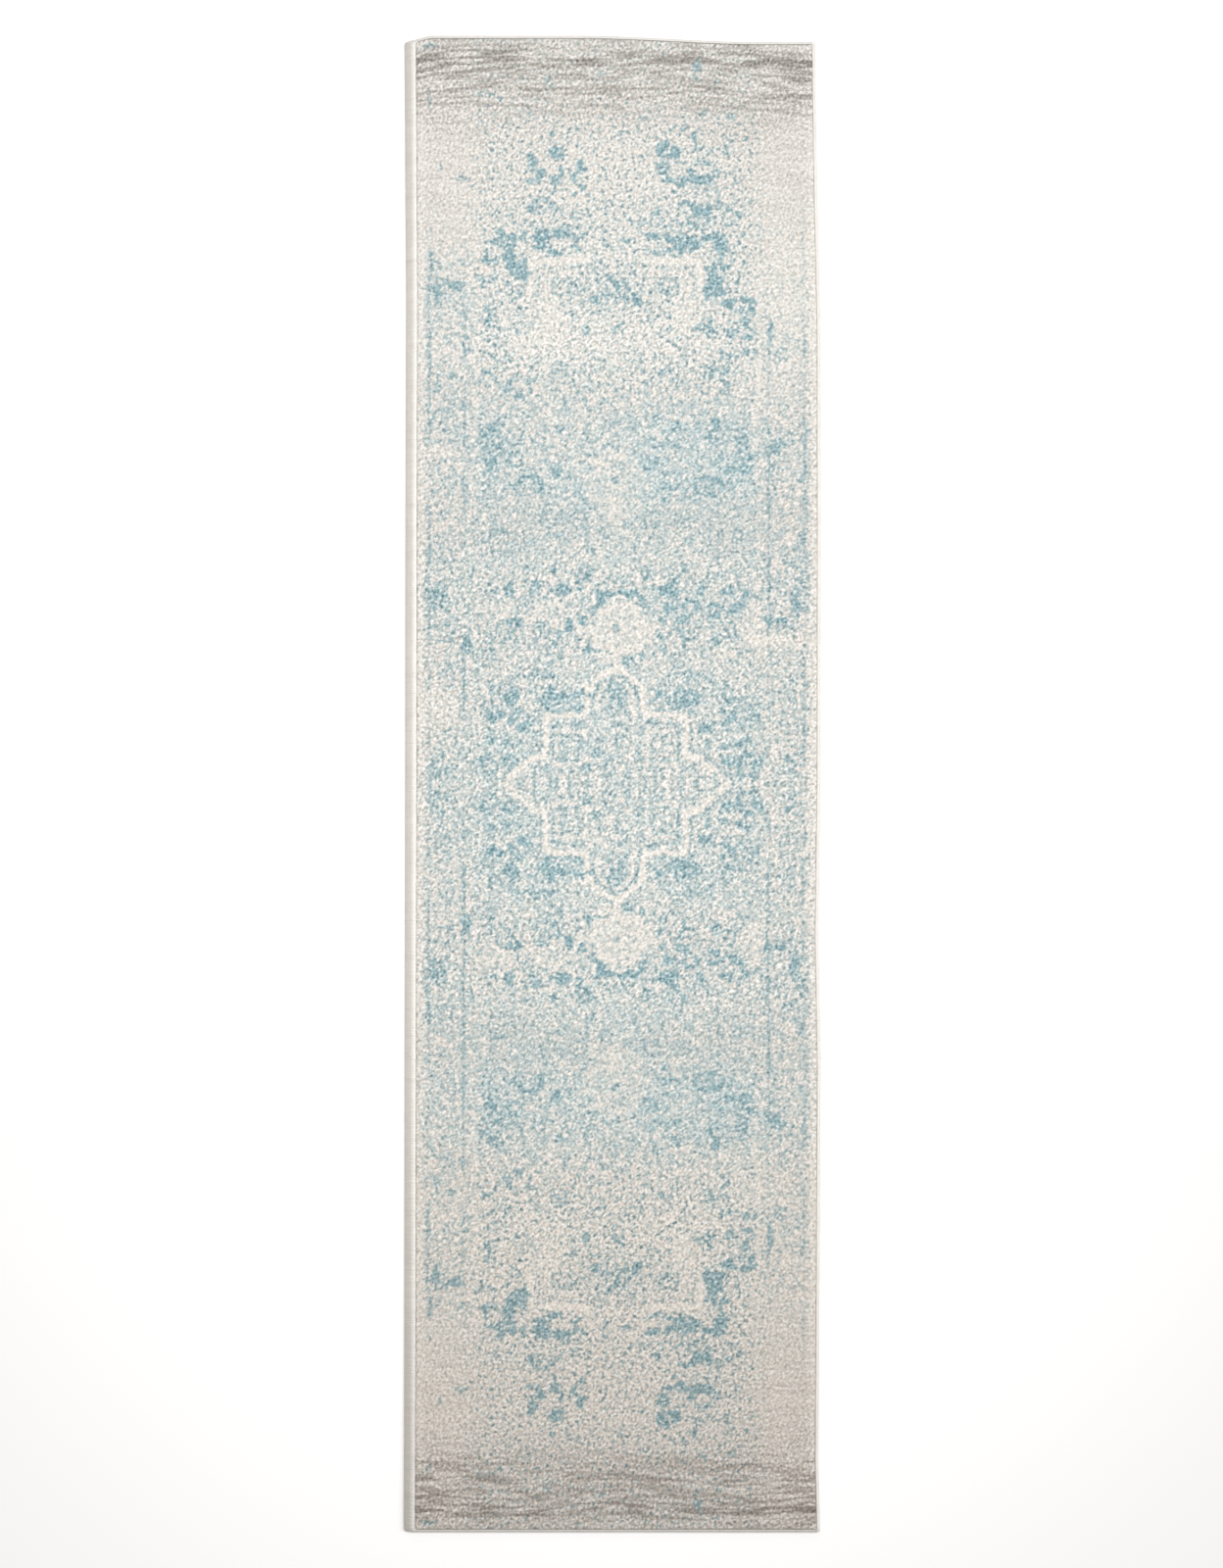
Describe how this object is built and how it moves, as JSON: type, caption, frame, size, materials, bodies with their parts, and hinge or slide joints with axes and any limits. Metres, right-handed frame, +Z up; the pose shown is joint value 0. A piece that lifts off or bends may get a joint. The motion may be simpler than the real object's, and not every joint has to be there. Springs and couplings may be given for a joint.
{
  "type": "runner rug",
  "caption": "Long narrow woven runner rug with a cut pile in a faded medallion pattern, corded and serged edges and a coated back; its ends fold over onto the middle.",
  "frame": {"origin": "centre of the rug's underside, on the floor", "axes": "+X across the rug, to the right as the head end is seen at the top; +Y along the rug, towards the head end; +Z up, out of the pile"},
  "size_m": [0.676, 2.44, 0.0096],
  "materials": {
    "pile_yarn": "heat-set cut pile in cream, light grey, mid grey and aqua blue yarns",
    "ground_weave_yarn": "jute weft and cotton warps",
    "latex_coat": "thin matt latex wash over the woven back",
    "edge_cord": "twisted filler cord",
    "serging_yarn": "cream serging yarn wound over the edge"
  },
  "bodies": {
    "middle": {"pile_middle": "pile_yarn", "ground_weave_middle": "ground_weave_yarn", "latex_backing_middle": "latex_coat", "left_edge_cord_middle": "edge_cord", "right_edge_cord_middle": "edge_cord", "left_serging_middle": "serging_yarn", "right_serging_middle": "serging_yarn"},
    "head_end": {"pile_head_end": "pile_yarn", "ground_weave_head_end": "ground_weave_yarn", "latex_backing_head_end": "latex_coat", "left_edge_cord_head_end": "edge_cord", "right_edge_cord_head_end": "edge_cord", "left_serging_head_end": "serging_yarn", "right_serging_head_end": "serging_yarn", "head_edge_cord": "edge_cord", "head_serging": "serging_yarn"},
    "foot_end": {"pile_foot_end": "pile_yarn", "ground_weave_foot_end": "ground_weave_yarn", "latex_backing_foot_end": "latex_coat", "left_edge_cord_foot_end": "edge_cord", "right_edge_cord_foot_end": "edge_cord", "left_serging_foot_end": "serging_yarn", "right_serging_foot_end": "serging_yarn", "foot_edge_cord": "edge_cord", "foot_serging": "serging_yarn"}
  },
  "joints": [
    {"name": "head_end_fold", "type": "hinge", "parent": "middle", "child": "head_end", "pos_m": [0, 0.61, 0.0108], "axis": [1, 0, 0], "range_deg": [0, 180]},
    {"name": "foot_end_fold", "type": "hinge", "parent": "middle", "child": "foot_end", "pos_m": [0, -0.61, 0.0108], "axis": [-1, 0, 0], "range_deg": [0, 180]}
  ]
}
